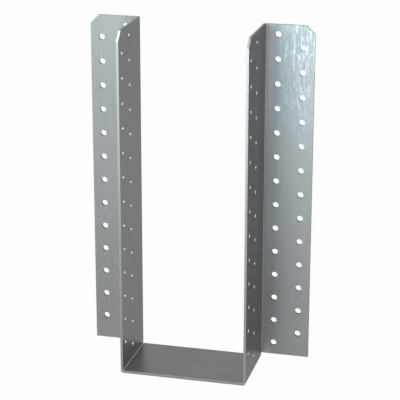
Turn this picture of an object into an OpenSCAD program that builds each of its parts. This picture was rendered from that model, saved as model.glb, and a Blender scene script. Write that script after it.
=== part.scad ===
// Face-fixed beam hanger, folded from one sheet of galvanised steel.
// The beam stands on the seat, between the two side plates, and is nailed through them.
// The two flanges turn outwards at the back and are nailed to the face of the carrying beam.
// Origin: middle of the footprint, on the underside of the seat.
// X runs across the beam, Y from the open front to the carrying beam, Z up.

/* [Beam] */
// Clear width between the side plates
beam_w = 100; // [60:1:200]
// Height of the side plates and flanges above the seat
beam_h = 280; // [120:1:400]

/* [Sheet] */
// Thickness of the sheet
sheet_t = 2; // [1.5:0.1:3]
// Inside radius of every fold
fold_r = 0.5; // [0.5:0.1:3]

/* [Side plates] */
// Depth of the side plates, from the front edge to the back of the flanges
side_d = 61.5; // [50:0.5:120]
// Cut across the front top corner of each side plate
side_cut = 7; // [2:0.5:12]

/* [Flanges] */
// Width of each flange, from the outside of its side plate to its free edge
flange_w = 39.2; // [36:0.1:80]
// Height of the lower edge of each flange above the seat
flange_lift = 2; // [2:0.5:8]
// Cut across the outer top corner of each flange
flange_cut = 7; // [2:0.5:12]

/* [Nail holes] */
// Diameter of every nail hole
nail_d = 5; // [3:0.1:6]
// Distance between the holes of one column
nail_pitch = 20; // [16:0.5:40]
// Distance between the two columns of each plate
column_gap = 20; // [10:0.5:22]
// From the outside of the side plate to the inner column of the flange
flange_column = 10; // [9:0.5:12]
// From the front edge of the side plate to its front column
side_column = 9; // [8:0.5:14]
// From the lower edge of the flange to the lowest hole of its inner column
flange_low = 10; // [8:0.5:20]
// From the seat to the lowest hole of the back column of the side plate
side_low = 12; // [8:0.5:20]
// Least distance from the middle of a hole to the top edge
nail_edge = 7; // [6:0.5:12]

/* [Hidden] */

$fn = 96;

// Half of the clear width, and of the width over the side plates
inner_x = beam_w / 2;
outer_x = inner_x + sheet_t;
// Free edge of the right flange
edge_x = outer_x + flange_w;

// Outside radius of every fold
outer_r = fold_r + sheet_t;

// Heights of the seat's upper face, the lower edge of the flanges and the top edge
seat_z = sheet_t;
flange_z = seat_z + flange_lift;
top_z = seat_z + beam_h;

// Front edge, back of the flanges, and the line where the side plates end and the flange folds begin
front_y = -side_d / 2;
back_y = side_d / 2;
fold_y = back_y - outer_r;

// How far a cutting body reaches past the sheet
reach = 1;

// Heights of the holes in a column whose lowest one is at low, up to the top edge
function column_heights(low) = [for (z = [low : nail_pitch : top_z - nail_edge]) z];

// A channel standing on z = 0, with its two lower corners rounded and its head open
module channel(half_w, r, height) {
    translate([-half_w, r])
        square([2 * half_w, height - r]);
    translate([r - half_w, 0])
        square([2 * (half_w - r), 2 * r]);
    for (side = [-1, 1])
        translate([side * (half_w - r), r])
            circle(r);
}

// Front view of the folded strip: the seat between the two side plates
module stirrup_section() {
    difference() {
        channel(outer_x, outer_r, top_z);
        translate([0, seat_z])
            channel(inner_x, fold_r, beam_h + reach);
    }
}

// Seat and side plates, from the front edge to the flange folds
module stirrup() {
    translate([0, fold_y, 0])
        rotate([90, 0, 0])
            linear_extrude(fold_y - front_y)
                stirrup_section();
}

// Plan view of the right flange and its fold, which carries on from the back of the side plate
module flange_section() {
    intersection() {
        translate([inner_x + outer_r, fold_y])
            difference() {
                circle(outer_r);
                circle(fold_r);
            }
        translate([inner_x, fold_y])
            square(outer_r);
    }
    translate([inner_x + outer_r, back_y - sheet_t])
        square([edge_x - inner_x - outer_r, sheet_t]);
}

// Right flange, from its lower edge to the top
module flange() {
    translate([0, 0, flange_z])
        linear_extrude(top_z - flange_z)
            flange_section();
}

// Bar that cuts a corner which points along +X and +Z, with the bar lying along Y
module corner_bar(cut, length) {
    rotate([90, 0, 0])
        linear_extrude(length, center = true)
            polygon([[reach, reach], [-cut - reach, reach], [reach, -cut - reach]]);
}

// Two staggered columns of pins for nail holes. The first column starts at low, and the second,
// a column gap further along X, starts half a pitch higher. The pins lie along Y.
module nail_columns(low, length) {
    for (column = [0, 1])
        for (z = column_heights(low + column * nail_pitch / 2))
            translate([column * column_gap, 0, z])
                rotate([90, 0, 0])
                    cylinder(h = length, d = nail_d, center = true);
}

// Cuts in the right flange: its nail holes and its outer top corner
module flange_cuts() {
    translate([0, back_y - sheet_t / 2, 0]) {
        translate([outer_x + flange_column, 0, 0])
            nail_columns(flange_z + flange_low, sheet_t + 2 * reach);
        translate([edge_x, 0, top_z])
            corner_bar(flange_cut, sheet_t + 2 * reach);
    }
}

// Cuts through both side plates: their nail holes and their front top corners
module side_cuts() {
    rotate([0, 0, -90]) {
        translate([-front_y - side_column - column_gap, 0, 0])
            nail_columns(seat_z + side_low, 2 * (outer_x + reach));
        translate([-front_y, 0, top_z])
            corner_bar(side_cut, 2 * (outer_x + reach));
    }
}

// The hanger, folded from one sheet
module beam_hanger() {
    color([0.62, 0.65, 0.67])
        difference() {
            union() {
                stirrup();
                for (side = [0, 1])
                    mirror([side, 0, 0])
                        flange();
            }
            side_cuts();
            for (side = [0, 1])
                mirror([side, 0, 0])
                    flange_cuts();
        }
}

beam_hanger();
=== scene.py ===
"""Looks of a face-fixed beam hanger: one galvanised sheet, perforated flat and then folded.

The sheet is laid out as its flat blank, punched with its nail holes, given its thickness and folded
along four lines by a Geometry Nodes tree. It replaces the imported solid. Everything is in metres, in
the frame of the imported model: the middle of the footprint on the underside of the seat, X across
the beam, Y from the open front to the carrying beam, Z up.
"""

import logging
import math
from dataclasses import dataclass, fields
from enum import Enum
from typing import Any, ClassVar, Iterable, Sequence, Union

import bpy
from mathutils import Matrix, Vector


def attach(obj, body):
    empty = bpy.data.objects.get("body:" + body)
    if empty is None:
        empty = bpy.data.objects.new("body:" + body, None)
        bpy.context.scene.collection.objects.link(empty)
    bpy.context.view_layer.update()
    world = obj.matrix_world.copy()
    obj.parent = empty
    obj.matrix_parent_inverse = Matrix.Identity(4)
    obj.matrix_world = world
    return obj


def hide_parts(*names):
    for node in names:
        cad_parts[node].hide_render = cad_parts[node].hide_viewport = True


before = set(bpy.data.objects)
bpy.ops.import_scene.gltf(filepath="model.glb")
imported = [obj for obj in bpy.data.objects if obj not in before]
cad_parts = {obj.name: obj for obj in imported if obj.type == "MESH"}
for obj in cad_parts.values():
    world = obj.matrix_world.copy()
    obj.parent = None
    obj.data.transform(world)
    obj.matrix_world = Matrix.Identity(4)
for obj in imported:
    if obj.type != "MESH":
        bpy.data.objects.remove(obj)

log = logging.getLogger("beam_hanger")

MM = 0.001
IMAGE_SIDE = 400
QUARTER_TURN = math.pi / 2
WHITE = (1.0, 1.0, 1.0, 1.0)

Colour = tuple[float, float, float]
Span = tuple[float, float, float, float]
Value = Union["Signal", float, int, bool, Sequence[float]]
Feed = Union[Value, str, bpy.types.Material, list["Signal"]]


class Signal:
    """One output socket. Operators on it write Math nodes into its tree."""

    def __init__(self, tree: "Tree", socket: bpy.types.NodeSocket) -> None:
        """Keep the socket and the tree that it belongs to."""
        self.tree = tree
        self.socket = socket

    def _math(self, operation: str, *values: Value) -> "Signal":
        """Write one Math node.

        Args:
            operation: Name of the Math node's operation.
            values: What goes into its sockets, in order.

        Returns:
            The node's result.
        """
        numbered = dict(enumerate(values))
        return self.tree.node("ShaderNodeMath", {"operation": operation}, numbered)[0]

    def __add__(self, other: Value) -> "Signal":
        """Return self + other."""
        return self._math("ADD", self, other)

    def __radd__(self, other: Value) -> "Signal":
        """Return other + self."""
        return self._math("ADD", other, self)

    def __sub__(self, other: Value) -> "Signal":
        """Return self - other."""
        return self._math("SUBTRACT", self, other)

    def __rsub__(self, other: Value) -> "Signal":
        """Return other - self."""
        return self._math("SUBTRACT", other, self)

    def __mul__(self, other: Value) -> "Signal":
        """Return self * other."""
        return self._math("MULTIPLY", self, other)

    def __rmul__(self, other: Value) -> "Signal":
        """Return other * self."""
        return self._math("MULTIPLY", other, self)

    def __truediv__(self, other: Value) -> "Signal":
        """Return self / other."""
        return self._math("DIVIDE", self, other)

    def __rtruediv__(self, other: Value) -> "Signal":
        """Return other / self."""
        return self._math("DIVIDE", other, self)

    def __gt__(self, other: Value) -> "Signal":
        """Return 1 where self is more than other, else 0."""
        return self._math("GREATER_THAN", self, other)

    def __lt__(self, other: Value) -> "Signal":
        """Return 1 where self is less than other, else 0."""
        return self._math("LESS_THAN", self, other)

    def __neg__(self) -> "Signal":
        """Return -self."""
        return self._math("MULTIPLY", self, -1.0)

    def __abs__(self) -> "Signal":
        """Return the absolute value."""
        return self._math("ABSOLUTE", self)

    def at_least(self, other: Value) -> "Signal":
        """Return the larger of self and other."""
        return self._math("MAXIMUM", self, other)

    def at_most(self, other: Value) -> "Signal":
        """Return the smaller of self and other."""
        return self._math("MINIMUM", self, other)

    def clamped(self) -> "Signal":
        """Return self held between 0 and 1."""
        return self.at_least(0.0).at_most(1.0)

    def rising(self, first: float, last: float) -> "Signal":
        """Return 0 up to the first value and 1 from the last on, with an even rise between."""
        return ((self - first) / (last - first)).clamped()

    def within(self, span: Span) -> "Signal":
        """Return 1 over the full part of a span and 0 outside it, with an even rise and fall."""
        begin, full, last, end = span
        return self.rising(begin, full).at_most(self.rising(end, last))

    def sine(self) -> "Signal":
        """Return the sine."""
        return self._math("SINE", self)

    def cosine(self) -> "Signal":
        """Return the cosine."""
        return self._math("COSINE", self)

    def sign(self) -> "Signal":
        """Return -1, 0 or 1."""
        return self._math("SIGN", self)

    def floor(self) -> "Signal":
        """Return the whole number below."""
        return self._math("FLOOR", self)


class Tree:
    """Writes nodes into a shader or geometry tree."""

    def __init__(self, tree: bpy.types.NodeTree) -> None:
        """Empty the tree, which then takes the new nodes."""
        self.tree = tree
        tree.nodes.clear()

    def node(self, kind: str, settings: dict[str, Any] | None = None,
             values: dict[Union[int, str], Feed] | None = None) -> list[Signal]:
        """Write one node.

        Args:
            kind: The node's type.
            settings: Properties of the node, set first. The number of an Index Switch node's
                choices is one of them.
            values: What goes into its sockets, by number or name.

        Returns:
            The node's outputs that are in use, in order.
        """
        made = self.tree.nodes.new(kind)
        for name, value in (settings or {}).items():
            if name == "index_switch_items":
                self._grow(made, value)
            else:
                setattr(made, name, value)
        for key, value in (values or {}).items():
            self._feed(self._socket(made, key), value)
        return [Signal(self, socket) for socket in made.outputs if socket.enabled]

    @staticmethod
    def _grow(made: bpy.types.Node, count: int) -> None:
        """Give an Index Switch node its number of choices."""
        while len(made.index_switch_items) < count:
            made.index_switch_items.new()

    @staticmethod
    def _socket(made: bpy.types.Node, key: Union[int, str]) -> bpy.types.NodeSocket:
        """Find an input of a node, among those in use.

        Args:
            made: The node.
            key: The input's number or name.

        Returns:
            The input.
        """
        shown = [socket for socket in made.inputs if socket.enabled]
        if isinstance(key, int):
            return shown[key]
        return next(socket for socket in shown if socket.name == key)

    def _feed(self, socket: bpy.types.NodeSocket, value: Feed) -> None:
        """Link a signal to the socket, or several to one that takes several, or set its value.

        Args:
            socket: The input.
            value: A signal, a list of signals, or a plain value.
        """
        if isinstance(value, Signal):
            self.tree.links.new(value.socket, socket)
        elif isinstance(value, list):
            for one in value:
                self.tree.links.new(one.socket, socket)
        else:
            socket.default_value = value

    def outputs(self, kind: str, settings: dict[str, Any] | None = None) -> dict[str, Signal]:
        """Write a node that takes nothing in, and return its outputs by name."""
        return {signal.socket.name: signal for signal in self.node(kind, settings)}

    def vector(self, x: Value = 0.0, y: Value = 0.0, z: Value = 0.0) -> Signal:
        """Return a vector of three values."""
        return self.node("ShaderNodeCombineXYZ", values={0: x, 1: y, 2: z})[0]

    def parts(self, vector: Signal) -> list[Signal]:
        """Return the three values of a vector."""
        return self.node("ShaderNodeSeparateXYZ", values={0: vector})

    def mixed(self, factor: Value, without: Value, full: Value) -> Signal:
        """Return a colour mixed from the one at factor 0 and the one at factor 1."""
        return self.node("ShaderNodeMix", {"data_type": "RGBA"},
                         {"Factor": factor, "A": without, "B": full})[0]


def finish_mesh(piece: bpy.types.Object) -> None:
    """Write the modifiers of a piece into a plain mesh of its own, and remove them.

    Args:
        piece: The object. Its new mesh takes its name.
    """
    graph = bpy.context.evaluated_depsgraph_get()
    mesh = bpy.data.meshes.new_from_object(piece.evaluated_get(graph),
                                           preserve_all_data_layers=True, depsgraph=graph)
    piece.modifiers.clear()
    replaced = piece.data
    piece.data = mesh
    bpy.data.meshes.remove(replaced)
    mesh.name = piece.name


class Mark(Enum):
    """What the sheet's mesh carries from its flat blank."""

    BLANK = "blank"
    SHEARED = "sheared"
    BORE = "bore"
    ROUNDING = "bevel_weight_edge"


class Face(Enum):
    """The two faces of the sheet."""

    OUTER = "underside of the seat, outsides of the side plates, fronts of the flanges"
    INNER = "top of the seat, insides of the side plates, backs of the flanges"


class BlankPlace:
    """Where a shaded point lies on the flat blank, and whether it is a sheared edge or a bore.

    Along is 0 in the middle of the seat and above 0 on the right half. Across grows from the front
    edge to the free edges of the flanges. Depth grows from the outer face to the inner one.
    """

    mid_sheet: ClassVar[float] = 1.0 * MM

    def __init__(self, tree: Tree) -> None:
        """Read what the sheet's mesh carries."""
        self.tree = tree
        self.point = self._read(Mark.BLANK, "Vector")
        self.sheared = self._read(Mark.SHEARED, "Fac")
        self.bore = self._read(Mark.BORE, "Fac")
        self.along, self.across, self.depth = tree.parts(self.point)

    def _read(self, mark: Mark, output: str) -> Signal:
        """Return a mark of the mesh, from the named output of its Attribute node."""
        return self.tree.outputs("ShaderNodeAttribute", {"attribute_name": mark.value})[output]

    def on(self, face: Face) -> Signal:
        """Return 1 on that face of the sheet and 0 on the other."""
        inner = self.depth > self.mid_sheet
        return inner if face is Face.INNER else 1.0 - inner


@dataclass(frozen=True)
class Noise:
    """A noise that is drawn out along the sheet's rolling direction.

    Its scale is in waves per metre along the sheet, across it and through it. Its detail is the
    number of octaves, and its waviness is how far it bends its own pattern.
    """

    middle: ClassVar[float] = 0.5
    octave_fall: ClassVar[float] = 0.55

    scale: tuple[float, float, float]
    detail: float
    waviness: float = 0.0

    def at(self, place: BlankPlace) -> Signal:
        """Write the noise.

        Args:
            place: The place on the blank.

        Returns:
            The noise, about 0 to 1.
        """
        tree = place.tree
        mapped = tree.node("ShaderNodeMapping", values={
            "Vector": place.point, "Scale": self.scale})[0]
        return tree.node("ShaderNodeTexNoise", values={
            "Vector": mapped, "Scale": 1.0, "Detail": self.detail,
            "Roughness": self.octave_fall, "Distortion": self.waviness})[0]

    def swing(self, place: BlankPlace) -> Signal:
        """Return the noise less its middle value."""
        return self.at(place) - self.middle


@dataclass(frozen=True)
class PaintedLightPatch:
    """A soft patch of painted light or painted shade, lighter or darker zinc on one face of the
    blank.

    Each span holds four places: where the patch begins, where it is full, where it is last full,
    and where it ends. The gain is what the full patch adds to the zinc's tone, which is 1 without
    any patch.
    """

    gain: float
    face: Face
    along: Span
    across: Span

    def at(self, place: BlankPlace) -> Signal:
        """Return what the patch adds to the tone at a place on the blank."""
        extent = place.along.within(self.along) * place.across.within(self.across)
        return extent * place.on(self.face) * self.gain


# Past every edge of the blank
FAR = 400 * MM
EVERYWHERE = (-FAR - MM, -FAR, FAR, FAR + MM)

# Spans along the blank
RIGHT_HALF = (0.0, MM, FAR, FAR + MM)
LEFT_HALF = (-FAR - MM, -FAR, -MM, 0.0)
SEAT = (-48 * MM, -47 * MM, 47 * MM, 48 * MM)

# Places across the blank: the rise inside a flange's fold, the start of the flat flange, and spans
FOLD_RISE = (29.4 * MM, 30.2 * MM)
FLANGE_START = 30.0 * MM
FLANGE = (FLANGE_START, 31.0 * MM, FAR, FAR + MM)
OUTER_FLANGE = (34 * MM, 40 * MM, FAR, FAR + MM)
SIDE_PLATE = (-FAR - MM, -FAR, 28.8 * MM, 29.6 * MM)
BACK_OF_SIDE_PLATE = (5 * MM, 16 * MM, 28.8 * MM, 29.6 * MM)

# Patches of painted light and shade, which lighten or darken the zinc where the light falls short or
# too strong
PAINTED_LIGHT_AND_SHADE = (
    # Painted highlight: light strip beside the right flange's fold
    PaintedLightPatch(0.44, Face.OUTER, RIGHT_HALF, (*FOLD_RISE, 31.0 * MM, 38.5 * MM)),
    # Painted shade: dark strip beside the left flange's fold
    PaintedLightPatch(-0.25, Face.OUTER, LEFT_HALF, (*FOLD_RISE, 33 * MM, 46 * MM)),
    # Painted light: lighter and wider stretch of the right strip, in its lower part
    PaintedLightPatch(0.10, Face.OUTER, (75 * MM, 115 * MM, 150 * MM, 200 * MM),
          (*FOLD_RISE, 34 * MM, 45 * MM)),
    # Painted light on the lower half of the right flange
    PaintedLightPatch(0.09, Face.OUTER, (0.0, MM, 170 * MM, 220 * MM), FLANGE),
    # Painted shade on the top of the right flange, behind the painted highlight runs
    PaintedLightPatch(-0.11, Face.OUTER, (218 * MM, 285 * MM, FAR, FAR + MM), OUTER_FLANGE),
    # Painted shade on the outside of the right side plate, fading towards its top
    PaintedLightPatch(-0.27, Face.OUTER, (65 * MM, 82 * MM, 130 * MM, 320 * MM), SIDE_PLATE),
    # Painted shade on the back part of the same face, at all heights
    PaintedLightPatch(-0.22, Face.OUTER, (53 * MM, 60 * MM, FAR, FAR + MM), BACK_OF_SIDE_PLATE),
    # Painted light on the top of the seat
    PaintedLightPatch(0.11, Face.INNER, SEAT, EVERYWHERE),
    # Painted light on the inside of the left side plate and back of its flange, fading towards the
    # foot
    PaintedLightPatch(0.12, Face.INNER, (-FAR - MM, -FAR, -200 * MM, -90 * MM), EVERYWHERE),
)


@dataclass(frozen=True)
class GalvanisedSteel:
    """Hot-dip galvanised sheet: satin grey zinc with a fine rolled grain and bright runs painted in.

    The runs are thin wavy lines in which the zinc is painted brighter, as painted highlights. They
    show faintly all over and gather on the front of the right flange, on its outer half and towards
    its top, where they stand for the lamps' glints. The sheared edges and the bores of the nail
    holes have tones of their own, with painted light and shade in them, and the patches are painted
    light and shade.
    """

    zinc: Colour = (0.380, 0.384, 0.388)
    side_bore_zinc: Colour = (0.42, 0.42, 0.422)
    # The bores of the flange holes are painted dark, as painted shade inside the holes
    flange_bore_shade: Colour = (0.10, 0.10, 0.101)
    # How far the clouds, and the grain, each swing the tone from trough to crest
    mottle: float = 0.10
    clouds: Noise = Noise((26.0, 44.0, 40.0), 3.0)
    grain: Noise = Noise((14.0, 420.0, 60.0), 4.0)

    roughness: float = 0.32
    bore_roughness: float = 0.50
    # The most that the grain adds to the roughness or takes from it
    grain_roughness: float = 0.05
    # Share of its plain reflection that the zinc keeps towards a grazing angle
    grazing_tint: float = 0.75
    ripples: Noise = Noise((85.0, 420.0, 60.0), 2.0)
    ripple_height: float = 0.008 * MM

    # Tone of a sheared edge at the seat and at the top, and where along the blank it rises, as
    # painted light that grows up the side plates
    sheared_tone_and_light: tuple[float, float] = (1.15, 1.48)
    sheared_light_rise: tuple[float, float] = (165 * MM, 325 * MM)
    # The cut front corners lie past the first place along the blank and before the second across it,
    # and get a painted highlight
    front_corner: tuple[float, float] = (324 * MM, -23 * MM)
    front_corner_highlight: float = 0.35
    # The seat's front edge has painted shade up to this depth from the underside
    seat_strip_depth: float = 1.1 * MM
    seat_strip_shade: float = 0.22
    # Where along the blank the inside of the seat's folds carries a painted highlight line, and how
    # bright it is
    seat_fold: tuple[float, float] = (50.0 * MM, 51.5 * MM)
    fold_highlight: float = 1.1

    # A run lies where this noise is within the width of its middle value
    wander: Noise = Noise((58.0, 450.0, 60.0), 2.0, waviness=0.45)
    run_width: float = 0.050
    # Painted highlight: how much brighter the zinc is along a run
    run_glint_tone: float = 1.22
    # A run breaks off where this noise is under the level
    breaks: Noise = Noise((95.0, 250.0, 60.0), 2.0)
    break_level: float = 0.42
    break_steepness: float = 6.0
    # Fine painted highlight dashes between the runs
    hatch: Noise = Noise((80.0, 720.0, 60.0), 2.0, waviness=0.2)
    hatch_glint_tone: float = 1.8
    # Share of the painted highlight runs that shows all over, and where along and across the blank
    # the rest gathers as painted glints
    faint_runs: float = 0.06
    glints_above: tuple[float, float] = (235 * MM, 322 * MM)
    glints_beyond: tuple[float, float] = (41 * MM, 53 * MM)

    def material(self) -> bpy.types.Material:
        """Write the finish.

        Returns:
            The material of the sheet.
        """
        material = bpy.data.materials.new("hot_dip_zinc")
        material.use_nodes = True
        tree = Tree(material.node_tree)
        place = BlankPlace(tree)
        grain = self.grain.swing(place)
        roughness = self.roughness + grain * (2.0 * self.grain_roughness)
        roughness = roughness + place.bore * (self.bore_roughness - self.roughness)
        normal = tree.node("ShaderNodeBump", values={
            "Strength": 1.0, "Distance": self.ripple_height, "Height": self.ripples.at(place)})[0]
        surface = tree.node("ShaderNodeBsdfPrincipled", values={
            "Base Color": self._colour(place, grain), "Metallic": 1.0, "Roughness": roughness,
            "Normal": normal, "Specular Tint": (self.grazing_tint,) * 3 + (1.0,)})[0]
        tree.node("ShaderNodeOutputMaterial", values={"Surface": surface})
        return material

    def _colour(self, place: BlankPlace, grain: Signal) -> Signal:
        """Write the colour of the zinc, with its painted light and shade.

        Args:
            place: The place on the blank.
            grain: The rolled grain, less its middle value.

        Returns:
            The colour, also of the walls of the nail holes.
        """
        tree = place.tree
        # Painted highlight runs
        face = 1.0 + self._runs_and_glints(place) * self.run_glint_tone
        # Painted highlight line inside the seat's folds
        face = face + self._inside_of_seat_fold(place) * self.fold_highlight
        # Patches of painted light and shade
        for patch in PAINTED_LIGHT_AND_SHADE:
            face = face + patch.at(place)
        tone = 1.0 + self.clouds.swing(place) * self.mottle + grain * self.mottle
        # Sheared edges take their own tone with painted light and shade, the faces take the runs and
        # patches
        tone = tone * (place.sheared * self._sheared_tone_and_light(place) + (1.0 - place.sheared) * face)
        zinc = tree.node("ShaderNodeVectorMath", {"operation": "SCALE"},
                         {0: self.zinc, "Scale": tone})[0]
        # Painted shade in the bores of the flange holes
        bore_zinc_and_shade = tree.mixed(place.across > FLANGE_START, (*self.side_bore_zinc, 1.0),
                               (*self.flange_bore_shade, 1.0))
        return tree.mixed(place.bore, zinc, bore_zinc_and_shade)

    def _sheared_tone_and_light(self, place: BlankPlace) -> Signal:
        """Write the tone of the sheared edges.

        Args:
            place: The place on the blank.

        Returns:
            The tone, with painted light that grows up the side plates, a painted highlight where
            their front corners are cut, and painted shade on the lower half of the seat's edge.
        """
        low, high = self.sheared_tone_and_light
        reach = abs(place.along)
        corner_along, corner_across = self.front_corner
        corner = (reach > corner_along) * (place.across < corner_across)
        tone_with_painted_rise = low + reach.rising(*self.sheared_light_rise) * (high - low)
        seat_edge_shade = (reach < self.seat_fold[0]) * (place.depth < self.seat_strip_depth)
        return tone_with_painted_rise + corner * self.front_corner_highlight - seat_edge_shade * self.seat_strip_shade

    def _runs_and_glints(self, place: BlankPlace) -> Signal:
        """Write the bright runs, painted highlights of the lamps' glints.

        Args:
            place: The place on the blank.

        Returns:
            How strong the run is at a point, 0 on plain zinc.
        """
        line = (1.0 - abs(self.wander.swing(place)) / self.run_width).clamped()
        broken = ((self.breaks.at(place) - self.break_level) * self.break_steepness).clamped()
        hatched = self.hatch.swing(place).at_least(0.0) * self.hatch_glint_tone
        # The runs gather where the lamps' glints fall: painted highlight
        glint_zone = place.along.rising(*self.glints_above)
        glint_zone = glint_zone * place.across.rising(*self.glints_beyond) * place.on(Face.OUTER)
        shown = self.faint_runs + glint_zone * (1.0 - self.faint_runs)
        return (line * broken + hatched) * shown

    def _inside_of_seat_fold(self, place: BlankPlace) -> Signal:
        """Return 1 on the inside of the two folds beside the seat, where a highlight line is painted.
        """
        first, last = self.seat_fold
        reach = abs(place.along)
        return (reach > first) * (reach < last) * place.on(Face.INNER)


@dataclass(frozen=True)
class BlankLines:
    """The lines of the flat blank, worked out from the sheet's sizes.

    Places along the blank are measured from the middle of the seat up a side plate, and places
    across it from the middle of the side plate's depth towards the flange.
    """

    arc: Signal
    front: Signal
    seat_end: Signal
    side_start: Signal
    side_end: Signal
    side_back: Signal
    flange_foot: Signal
    flange_start: Signal
    flange_end: Signal

    @classmethod
    def of(cls, size: dict[str, Signal]) -> "BlankLines":
        """Work the lines out.

        Args:
            size: The sheet's sizes.

        Returns:
            The lines, and the length of a fold's arc at half the thickness.
        """
        sheet, radius = size["sheet"], size["fold_radius"]
        arc = (radius + sheet * 0.5) * QUARTER_TURN
        seat_end = size["beam_width"] * 0.5 - radius
        side_start = seat_end + arc
        side_back = size["side_depth"] * 0.5 - (radius + sheet)
        flange_start = side_back + arc
        return cls(
            arc=arc,
            front=size["side_depth"] * -0.5,
            seat_end=seat_end,
            side_start=side_start,
            side_end=side_start + size["beam_height"] - radius,
            side_back=side_back,
            flange_foot=side_start + size["flange_lift"] - radius,
            flange_start=flange_start,
            flange_end=flange_start + size["flange_width"] - radius)


@dataclass
class FoldedSheet:
    """The hanger's one sheet: its blank, the nail holes punched in it, and its four folds.

    The fields are the named inputs of the tree that folds it. Heights are from the top of the seat,
    but the flange's lowest hole is measured from the flange's foot, and no hole's middle comes
    closer to the top edge than nail_edge. The flange's width and column are from the outside of the
    side plate, and the side plate's column is from its front edge.
    """

    beam_width: float = 100 * MM
    beam_height: float = 280 * MM
    sheet: float = 2 * MM
    fold_radius: float = 0.5 * MM
    side_depth: float = 61.5 * MM
    side_cut: float = 7 * MM
    flange_width: float = 39.2 * MM
    flange_lift: float = 2 * MM
    flange_cut: float = 7 * MM
    nail_hole: float = 5 * MM
    nail_pitch: float = 20 * MM
    column_gap: float = 20 * MM
    flange_column: float = 10 * MM
    side_column: float = 9 * MM
    flange_low: float = 10 * MM
    side_low: float = 12 * MM
    nail_edge: float = 7 * MM

    name: ClassVar[str] = "hanger_sheet"
    rim_steps: ClassVar[int] = 40
    fold_steps: ClassVar[int] = 10
    # A bore's wall lies within this many radii of its hole's middle
    bore_reach: ClassVar[float] = 1.2
    # Edges that turn by more than this angle are rounded, and the rims of holes less than the rest
    sharp_angle: ClassVar[float] = math.radians(30)
    edge_round: ClassVar[float] = 0.22 * MM
    rim_round: ClassVar[float] = 0.05 * MM
    round_segments: ClassVar[int] = 2
    # How strongly the flat faces level the shading of the roundings beside them
    level_weight: ClassVar[int] = 100
    # Points that are closer than this are one
    weld: ClassVar[float] = 0.001 * MM

    def build(self, finish: bpy.types.Material) -> bpy.types.Object:
        """Make the sheet and finish it.

        Args:
            finish: The sheet's material.

        Returns:
            The piece, as a plain mesh at the origin.
        """
        piece = bpy.data.objects.new(self.name, bpy.data.meshes.new(self.name))
        bpy.context.scene.collection.objects.link(piece)
        self._fold(piece, finish)
        self._round_edges(piece)
        return piece

    def _fold(self, piece: bpy.types.Object, finish: bpy.types.Material) -> None:
        """Run the tree that punches and folds the sheet, and keep its plain mesh.

        Args:
            piece: The object that takes the mesh.
            finish: The sheet's material.
        """
        group = bpy.data.node_groups.new("punch_and_fold", "GeometryNodeTree")
        group.interface.new_socket("Geometry", in_out="OUTPUT", socket_type="NodeSocketGeometry")
        identifiers = {}
        for field in fields(self):
            socket = group.interface.new_socket(field.name, in_out="INPUT",
                                                socket_type="NodeSocketFloat")
            identifiers[field.name] = socket.identifier
        self._write(Tree(group), finish)
        modifier = piece.modifiers.new("fold", "NODES")
        modifier.node_group = group
        for name, identifier in identifiers.items():
            modifier[identifier] = getattr(self, name)
        finish_mesh(piece)

    def _write(self, tree: Tree, finish: bpy.types.Material) -> None:
        """Write the tree: lay out half of the blank, mirror it, thicken it, mark it and fold it.

        Args:
            tree: The empty geometry tree.
            finish: The sheet's material.
        """
        size = dict(zip((field.name for field in fields(self)), tree.node("NodeGroupInput")))
        lines = BlankLines.of(size)
        side_holes = self._side_holes(tree, size, lines)
        flange_holes = self._flange_holes(tree, size, lines)
        plate = (lines.front, lines.side_back)
        half = self._join(tree, [
            self._strip(tree, (0.0, lines.seat_end), plate, (1, 1)),
            self._strip(tree, (lines.seat_end, lines.side_start), plate, (self.fold_steps, 1)),
            self._side(tree, size, lines, side_holes),
            self._strip(tree, (lines.flange_foot, lines.side_end),
                        (lines.side_back, lines.flange_start), (1, self.fold_steps)),
            self._flange(tree, size, lines, flange_holes)])
        mirrored = tree.node("GeometryNodeTransform", values={
            "Geometry": half, "Scale": (-1.0, 1.0, 1.0)})[0]
        mirrored = tree.node("GeometryNodeFlipFaces", values={"Mesh": mirrored})[0]
        shell = self._thicken(tree, self._join(tree, [half, mirrored]), size["sheet"])
        shell = self._mark_bores(tree, shell, side_holes + flange_holes, size["nail_hole"] * 0.5)
        shell = self._mark_edges(tree, shell)
        folded = self._bend(tree, shell, size, lines)
        folded = tree.node("GeometryNodeSetShadeSmooth", values={"Geometry": folded})[0]
        real = tree.node("GeometryNodeRealizeInstances", values={"Geometry": folded})[0]
        dressed = tree.node("GeometryNodeSetMaterial", values={
            "Geometry": real, "Material": finish})[0]
        tree.node("NodeGroupOutput", values={0: dressed})

    def _side_holes(self, tree: Tree, size: dict[str, Signal], lines: BlankLines) -> list[Signal]:
        """Place the nail holes of a side plate.

        Args:
            tree: The geometry tree.
            size: The sheet's sizes.
            lines: The lines of the blank.

        Returns:
            The points of its back column and of its front column.
        """
        return self._columns(tree, size,
                             lines.side_start + size["side_low"] - size["fold_radius"],
                             lines.side_end - size["nail_edge"],
                             lines.front + size["side_column"] + size["column_gap"],
                             -size["column_gap"])

    def _flange_holes(self, tree: Tree, size: dict[str, Signal],
                      lines: BlankLines) -> list[Signal]:
        """Place the nail holes of a flange.

        Args:
            tree: The geometry tree.
            size: The sheet's sizes.
            lines: The lines of the blank.

        Returns:
            The points of its inner column and of its outer column.
        """
        return self._columns(tree, size, lines.flange_foot + size["flange_low"],
                             lines.side_end - size["nail_edge"],
                             lines.flange_start + size["flange_column"] - size["fold_radius"],
                             size["column_gap"])

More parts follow.
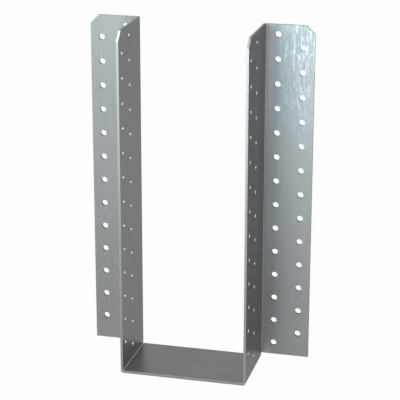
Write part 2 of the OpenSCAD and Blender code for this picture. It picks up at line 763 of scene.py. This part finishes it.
    def _side(self, tree: Tree, size: dict[str, Signal], lines: BlankLines,
              holes: list[Signal]) -> Signal:
        """Lay a side plate, with its front top corner cut.

        Args:
            tree: The geometry tree.
            size: The sheet's sizes.
            lines: The lines of the blank.
            holes: The points of each column of its holes.

        Returns:
            The flat plate.
        """
        cut = size["side_cut"]
        return self._panel(tree, holes, size["nail_hole"] * 0.5, [
            (lines.side_start, lines.front), (lines.side_end - cut, lines.front),
            (lines.side_end, lines.front + cut), (lines.side_end, lines.side_back),
            (lines.flange_foot, lines.side_back), (lines.side_start, lines.side_back)])

    def _flange(self, tree: Tree, size: dict[str, Signal], lines: BlankLines,
                holes: list[Signal]) -> Signal:
        """Lay a flange, with its outer top corner cut.

        Args:
            tree: The geometry tree.
            size: The sheet's sizes.
            lines: The lines of the blank.
            holes: The points of each column of its holes.

        Returns:
            The flat flange.
        """
        cut = size["flange_cut"]
        return self._panel(tree, holes, size["nail_hole"] * 0.5, [
            (lines.flange_foot, lines.flange_start), (lines.side_end, lines.flange_start),
            (lines.side_end, lines.flange_end - cut), (lines.side_end - cut, lines.flange_end),
            (lines.flange_foot, lines.flange_end)])

    @staticmethod
    def _columns(tree: Tree, size: dict[str, Signal], low: Signal, high: Signal,
                 first: Signal, gap: Signal) -> list[Signal]:
        """Place the middles of a plate's nail holes, in two columns half a pitch apart in height.

        Args:
            tree: The geometry tree.
            size: The sheet's sizes.
            low: Lowest hole of the first column, along the blank.
            high: The height that no hole's middle passes.
            first: The first column, across the blank.
            gap: From the first column to the second.

        Returns:
            The points of each column.
        """
        columns = []
        pitch = size["nail_pitch"]
        for start, column in ((low, first), (low + pitch * 0.5, first + gap)):
            count = ((high - start) / pitch + 1.0).floor()
            columns += tree.node("GeometryNodeMeshLine", values={
                "Count": count, "Start Location": tree.vector(start, column),
                "Offset": tree.vector(pitch)})
        return columns

    def _panel(self, tree: Tree, holes: list[Signal], hole: Signal,
               outline: Sequence[tuple[Signal, Signal]]) -> Signal:
        """Fill an outline, less its round holes.

        Args:
            tree: The geometry tree.
            holes: The points of each column.
            hole: Radius of a hole.
            outline: The corners, in order.

        Returns:
            The flat panel.
        """
        number = tree.node("GeometryNodeInputIndex")[0]
        places = [tree.vector(along, across) for along, across in outline]
        corner = tree.node("GeometryNodeIndexSwitch",
                           {"data_type": "VECTOR", "index_switch_items": len(places)},
                           dict(enumerate([number, *places])))[0]
        points = tree.node("GeometryNodePoints", values={
            "Count": len(outline), "Position": corner})[0]
        rim = tree.node("GeometryNodePointsToCurves", values={"Points": points})[0]
        rim = tree.node("GeometryNodeSetSplineCyclic", values={"Geometry": rim, "Cyclic": True})[0]
        punch = tree.node("GeometryNodeCurvePrimitiveCircle", values={
            "Resolution": self.rim_steps, "Radius": hole})[0]
        middles = tree.node("GeometryNodeJoinGeometry", values={0: holes})[0]
        punched = tree.node("GeometryNodeInstanceOnPoints", values={
            "Points": middles, "Instance": punch})[0]
        punched = tree.node("GeometryNodeRealizeInstances", values={"Geometry": punched})[0]
        curves = tree.node("GeometryNodeJoinGeometry", values={0: [rim, punched]})[0]
        return tree.node("GeometryNodeFillCurve", {"mode": "NGONS"}, {"Curve": curves})[0]

    @staticmethod
    def _strip(tree: Tree, along: tuple[Value, Signal], across: tuple[Value, Signal],
               steps: tuple[int, int]) -> Signal:
        """Lay a plain rectangle.

        Args:
            tree: The geometry tree.
            along: Where it starts and ends along the blank.
            across: Where it starts and ends across the blank.
            steps: Its faces along and across.

        Returns:
            The flat rectangle.
        """
        grid = tree.node("GeometryNodeMeshGrid", values={
            "Size X": along[1] - along[0], "Size Y": across[1] - across[0],
            "Vertices X": steps[0] + 1, "Vertices Y": steps[1] + 1})[0]
        middle = tree.vector((along[1] + along[0]) * 0.5, (across[1] + across[0]) * 0.5)
        return tree.node("GeometryNodeTransform", values={
            "Geometry": grid, "Translation": middle})[0]

    def _join(self, tree: Tree, meshes: list[Signal]) -> Signal:
        """Join meshes and weld the points that meet.

        Args:
            tree: The geometry tree.
            meshes: The meshes.

        Returns:
            One mesh.
        """
        joined = tree.node("GeometryNodeJoinGeometry", values={0: meshes})[0]
        return tree.node("GeometryNodeMergeByDistance", values={
            "Geometry": joined, "Distance": self.weld})[0]

    def _thicken(self, tree: Tree, blank: Signal, sheet: Signal) -> Signal:
        """Give the flat blank its thickness, mark its sheared walls, and keep each point's place.

        Args:
            tree: The geometry tree.
            blank: The flat blank.
            sheet: The thickness.

        Returns:
            A closed flat shell.
        """
        top, _, wall = tree.node("GeometryNodeExtrudeMesh", {"mode": "FACES"}, {
            "Mesh": blank, "Offset": tree.vector(0.0, 0.0, 1.0), "Offset Scale": sheet,
            "Individual": False})
        top = self._store(tree, top, Mark.SHEARED, wall)
        under = tree.node("GeometryNodeFlipFaces", values={"Mesh": blank})[0]
        shell = self._join(tree, [top, under])
        place = tree.node("GeometryNodeInputPosition")[0]
        return self._store(tree, shell, Mark.BLANK, place, "FLOAT_VECTOR", "POINT")

    @staticmethod
    def _store(tree: Tree, mesh: Signal, mark: Mark, value: Signal, kind: str = "FLOAT",
               domain: str = "FACE") -> Signal:
        """Store a mark on a mesh.

        Args:
            tree: The geometry tree.
            mesh: The mesh.
            mark: The mark.
            value: Its value.
            kind: Its data type.
            domain: What carries it.

        Returns:
            The mesh with the mark.
        """
        return tree.node("GeometryNodeStoreNamedAttribute", {"data_type": kind, "domain": domain},
                         {"Geometry": mesh, "Name": mark.value, "Value": value})[0]

    @staticmethod
    def _stored(tree: Tree, mark: Mark) -> Signal:
        """Return the value of a mark that is a plain number."""
        return tree.node("GeometryNodeInputNamedAttribute", {"data_type": "FLOAT"},
                         {"Name": mark.value})[0]

    def _mark_bores(self, tree: Tree, shell: Signal, holes: list[Signal], hole: Signal) -> Signal:
        """Mark the walls of the nail holes, which are the sheared walls close to a hole's middle.

        Args:
            tree: The geometry tree.
            shell: The flat shell, with its sheared walls marked.
            holes: The points of each column of the right half.
            hole: Radius of a hole.

        Returns:
            The shell, with bore at 1 on the walls of its holes.
        """
        middles = tree.node("GeometryNodeJoinGeometry", values={0: holes})[0]
        along, across, _ = tree.parts(tree.node("GeometryNodeInputPosition")[0])
        distance = tree.node("GeometryNodeProximity", {"target_element": "POINTS"}, {
            0: middles, "Sample Position": tree.vector(abs(along), across)})[1]
        bore = self._stored(tree, Mark.SHEARED) * (hole * self.bore_reach > distance)
        return self._store(tree, shell, Mark.BORE, bore)

    def _mark_edges(self, tree: Tree, shell: Signal) -> Signal:
        """Give each sharp edge the share of the full rounding that it takes.

        Args:
            tree: The geometry tree.
            shell: The flat shell, with the walls of its holes marked.

        Returns:
            The shell, with the weights that the Bevel modifier reads.
        """
        angle = tree.node("GeometryNodeInputMeshEdgeAngle")[0]
        # An edge between a bore and a face has half of the bore's mark
        rim = self._stored(tree, Mark.BORE) * 2.0
        share = 1.0 - rim * (1.0 - self.rim_round / self.edge_round)
        return self._store(tree, shell, Mark.ROUNDING, (angle > self.sharp_angle) * share,
                           domain="EDGE")

    def _bend(self, tree: Tree, shell: Signal, size: dict[str, Signal],
              lines: BlankLines) -> Signal:
        """Fold the flat shell: the flanges outwards first, then the side plates up.

        Args:
            tree: The geometry tree.
            shell: The flat shell.
            size: The sheet's sizes.
            lines: The lines of the blank.

        Returns:
            The folded shell.
        """
        radius = size["fold_radius"]
        along, across, height = tree.parts(tree.node("GeometryNodeInputPosition")[0])
        depth, below = self._turn(across, -height, lines.side_back, lines.arc, radius)
        reach, rise = self._turn(abs(along), -below, lines.seat_end, lines.arc,
                                 radius + size["sheet"])
        place = tree.vector(reach * along.sign(), depth, rise)
        return tree.node("GeometryNodeSetPosition", values={
            "Geometry": shell, "Position": place})[0]

    @staticmethod
    def _turn(along: Signal, height: Signal, start: Signal, arc: Signal,
              middle: Signal) -> tuple[Signal, Signal]:
        """Turn what lies past a line up by a quarter turn.

        Args:
            along: Distance of each point along the strip.
            height: Height of each point over the strip.
            start: Where the fold starts.
            arc: Length of the fold along the strip.
            middle: Height of the fold's axis.

        Returns:
            The new distance and height of each point.
        """
        past = along - start
        angle = (past / arc).clamped() * QUARTER_TURN
        radius = middle - height
        moved = start + past.at_most(0.0) + radius * angle.sine()
        raised = middle - radius * angle.cosine() + (past - arc).at_least(0.0)
        return moved, raised

    def _round_edges(self, piece: bpy.types.Object) -> None:
        """Round the sheared edges and hole rims slightly, so that they catch the light.

        Args:
            piece: The folded sheet.
        """
        bevel = piece.modifiers.new("edges", "BEVEL")
        bevel.width = self.edge_round
        bevel.segments = self.round_segments
        bevel.limit_method = "WEIGHT"
        bevel.use_clamp_overlap = True
        doubles = piece.modifiers.new("doubles", "WELD")
        doubles.merge_threshold = self.weld
        level = piece.modifiers.new("level_normals", "WEIGHTED_NORMAL")
        level.mode = "FACE_AREA"
        level.weight = self.level_weight
        finish_mesh(piece)


@dataclass(frozen=True)
class StudioFloor:
    """A plain pale floor and a dim, even world, which both show the camera a white background.

    The whites are how much white light the camera sees in them, and how much the metal mirrors. The
    drop is the hair's breadth that the floor lies under the seat.
    """

    half_side: float = 4.0
    drop: float = 0.4 * MM
    colour: Colour = (0.80, 0.80, 0.80)
    seen_white: float = 0.985
    mirrored_white: float = 0.445
    grey_world: Colour = (0.01, 0.01, 0.01)

    def build(self) -> bpy.types.Object:
        """Make the floor and the world round it.

        Returns:
            The floor.
        """
        mesh = bpy.data.meshes.new("floor")
        side = self.half_side
        mesh.from_pydata([(-side, -side, -self.drop), (side, -side, -self.drop),
                          (side, side, -self.drop), (-side, side, -self.drop)], [], [(0, 1, 2, 3)])
        floor = bpy.data.objects.new("floor", mesh)
        bpy.context.scene.collection.objects.link(floor)
        mesh.materials.append(self._floor_material())
        self._world()
        return floor

    def _white_share(self, tree: Tree) -> Signal:
        """Return the share of white in what a ray sees: most for the camera, less for metal."""
        ray = tree.outputs("ShaderNodeLightPath")
        mirrored = ray["Is Glossy Ray"] + ray["Is Transmission Ray"]
        return (ray["Is Camera Ray"] * self.seen_white + mirrored * self.mirrored_white).clamped()

    def _floor_material(self) -> bpy.types.Material:
        """Write the floor's finish.

        Returns:
            A pale matt floor that the camera and the metal see partly as white light. It is clear
            from below, so that a low camera sees the object.
        """
        material = bpy.data.materials.new("pale_floor")
        material.use_nodes = True
        tree = Tree(material.node_tree)
        matt = tree.node("ShaderNodeBsdfDiffuse", values={"Color": (*self.colour, 1.0)})[0]
        white = tree.node("ShaderNodeEmission", values={"Color": WHITE})[0]
        top = tree.node("ShaderNodeMixShader", values={
            0: self._white_share(tree), 1: matt, 2: white})[0]
        clear = tree.node("ShaderNodeBsdfTransparent")[0]
        from_below = tree.outputs("ShaderNodeNewGeometry")["Backfacing"]
        sided = tree.node("ShaderNodeMixShader", values={0: from_below, 1: top, 2: clear})[0]
        tree.node("ShaderNodeOutputMaterial", values={"Surface": sided})
        return material

    def _world(self) -> None:
        """Write the world: dim and even for light, white for the camera."""
        world = bpy.data.worlds.new("studio")
        world.use_nodes = True
        tree = Tree(world.node_tree)
        colour = tree.mixed(self._white_share(tree) / self.seen_white, (*self.grey_world, 1.0),
                            WHITE)
        background = tree.node("ShaderNodeBackground", values={"Color": colour})[0]
        tree.node("ShaderNodeOutputWorld", values={"Surface": background})
        bpy.context.scene.world = world


class Light(Enum):
    """The soft boxes of the studio, by where they stand."""

    KEY = "key_soft_box"
    FRONT_LEFT = "front_left_strip_box"
    FRONT_RIGHT = "front_right_strip_box"
    FAR_LEFT = "far_left_strip_box"
    NEAR = "near_right_box"
    TOP = "top_soft_box"


@dataclass(frozen=True)
class SoftBox:
    """A rectangular lamp of even brightness, where 1 looks as light as white."""

    kind: Light
    place: tuple[float, float, float]
    aim: tuple[float, float, float]
    width: float
    height: float
    brightness: float
    colour: Colour = (1.0, 1.0, 1.0)

    def build(self) -> bpy.types.Object:
        """Hang the lamp.

        Returns:
            The lamp.
        """
        data = bpy.data.lights.new(self.kind.value, "AREA")
        data.shape = "RECTANGLE"
        data.size = self.width
        data.size_y = self.height
        # A flat lamp spreads its power over its area times pi
        data.energy = self.brightness * math.pi * self.width * self.height
        data.color = self.colour
        lamp = bpy.data.objects.new(self.kind.value, data)
        bpy.context.scene.collection.objects.link(lamp)
        direction = Vector(self.aim) - Vector(self.place)
        lamp.rotation_euler = direction.to_track_quat("-Z", "Y").to_euler()
        lamp.location = self.place
        lamp.visible_camera = False
        return lamp


SOFT_BOXES = (
    SoftBox(Light.KEY, (-0.50, -1.05, 0.62), (-0.48, 0.0, 0.20), 0.42, 0.50, 13.9),
    SoftBox(Light.FRONT_LEFT, (-0.07, -1.05, 0.24), (-0.07, 0.0, 0.24), 0.16, 0.36, 5.5,
            (0.58, 0.92, 1.0)),
    SoftBox(Light.FRONT_RIGHT, (0.09, -1.05, 0.24), (0.09, 0.0, 0.24), 0.16, 0.36, 3.9,
            (0.67, 0.78, 1.0)),
    SoftBox(Light.FAR_LEFT, (-0.38, -1.05, 0.24), (-0.38, 0.0, 0.24), 0.10, 0.36, 1.8,
            (0.40, 0.89, 1.0)),
    SoftBox(Light.NEAR, (0.05, -0.50, 0.105), (0.05, 0.0, 0.105), 0.06, 0.11, 4.1,
            (0.86, 1.0, 0.94)),
    SoftBox(Light.TOP, (-0.38, -0.25, 1.20), (-0.38, -0.25, 0.0), 0.24, 0.30, 3.0),
)


@dataclass(frozen=True)
class PhotoCamera:
    """The photograph's camera, from the fit of the outline and the nail holes.

    Azimuth, elevation and roll are in degrees. The offset is the frame's origin as the camera has
    it: to the right, down and away. The focal length is in pixels of the photograph, and the
    sensor's width in millimetres.
    """

    azimuth: float = 14.236
    elevation: float = 18.303
    roll: float = -0.0627
    offset: tuple[float, float, float] = (-6.492 * MM, 135.165 * MM, 1337.783 * MM)
    focal: float = 1624.21
    sensor: float = 36.0
    nearest: float = 0.01
    farthest: float = 50.0

    def build(self) -> bpy.types.Object:
        """Make the camera and use it.

        Returns:
            The camera.
        """
        azimuth, elevation, roll = (
            math.radians(angle) for angle in (self.azimuth, self.elevation, self.roll))
        forward = Vector((-math.sin(azimuth) * math.cos(elevation),
                          math.cos(azimuth) * math.cos(elevation), -math.sin(elevation)))
        level = Vector((math.cos(azimuth), math.sin(azimuth), 0.0))
        down = forward.cross(level)
        across = level * math.cos(roll) + down * math.sin(roll)
        under = down * math.cos(roll) - level * math.sin(roll)
        right_of, below, away = self.offset
        place = -(across * right_of + under * below + forward * away)
        data = bpy.data.cameras.new("photo_camera")
        data.sensor_width = self.sensor
        data.lens = self.focal * self.sensor / IMAGE_SIDE
        data.clip_start = self.nearest
        data.clip_end = self.farthest
        camera = bpy.data.objects.new("photo_camera", data)
        bpy.context.scene.collection.objects.link(camera)
        turn = Matrix((across, -under, -forward)).transposed()
        camera.matrix_world = Matrix.Translation(place) @ turn.to_4x4()
        bpy.context.scene.camera = camera
        return camera


def main() -> None:
    """Build the hanger, its studio and the camera."""
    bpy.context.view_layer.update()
    log.info("camera %s", PhotoCamera().build().name)

    steel = GalvanisedSteel().material()
    sheet = FoldedSheet().build(steel)
    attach(sheet, "root")
    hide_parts("beam_hanger")
    log.info("%s: %d faces", sheet.name, len(sheet.data.polygons))

    log.info("stage %s", StudioFloor().build().name)
    for box in SOFT_BOXES:
        log.info("lamp %s", box.build().name)

    bpy.context.scene.view_settings.view_transform = "Standard"


if __name__ == "__main__":
    logging.basicConfig(level=logging.INFO)
    main()
